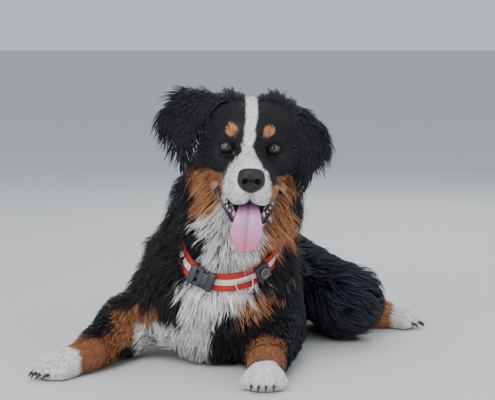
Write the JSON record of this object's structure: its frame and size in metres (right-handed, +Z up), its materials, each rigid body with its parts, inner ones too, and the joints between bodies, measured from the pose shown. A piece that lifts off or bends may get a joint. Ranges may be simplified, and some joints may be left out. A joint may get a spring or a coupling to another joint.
{
  "type": "bernese mountain dog",
  "caption": "Life-size still model of a young Bernese mountain dog lying with its head up, mouth open, wearing a webbing collar.",
  "frame": {"origin": "middle of the flat under the chest, on the floor", "axes": "+Z up; the dog faces -Y; its left side is at +X"},
  "size_m": [0.7108, 1.1662, 0.4867],
  "materials": {
    "coat_black": "long glossy hair",
    "coat_white": "soft hair",
    "coat_rust": "soft hair",
    "eye": "wet gloss",
    "nose_leather": "damp grain",
    "tongue": "wet, fine grain",
    "webbing": "woven",
    "collar_plastic": "satin",
    "steel": "polished"
  },
  "bodies": {
    "root": {"head": "coat_black", "neck": "coat_black", "chest": "coat_black", "torso": "coat_black", "tail": "coat_black", "foreleg_left": "coat_rust", "foreleg_right": "coat_rust", "hindleg_left": "coat_black", "hindleg_right": "coat_black", "paw_front_left": "coat_white", "paw_front_right": "coat_white", "paw_hind_left": "coat_white", "paw_hind_right": "coat_white", "ear_left": "coat_black", "ear_right": "coat_black", "eye_left": "eye", "eye_right": "eye", "nose": "nose_leather", "tongue": "tongue", "collar_strap": "webbing", "collar_buckle": "collar_plastic", "collar_slider": "collar_plastic", "collar_disc": "collar_plastic", "collar_ring": "steel"}
  },
  "joints": []
}
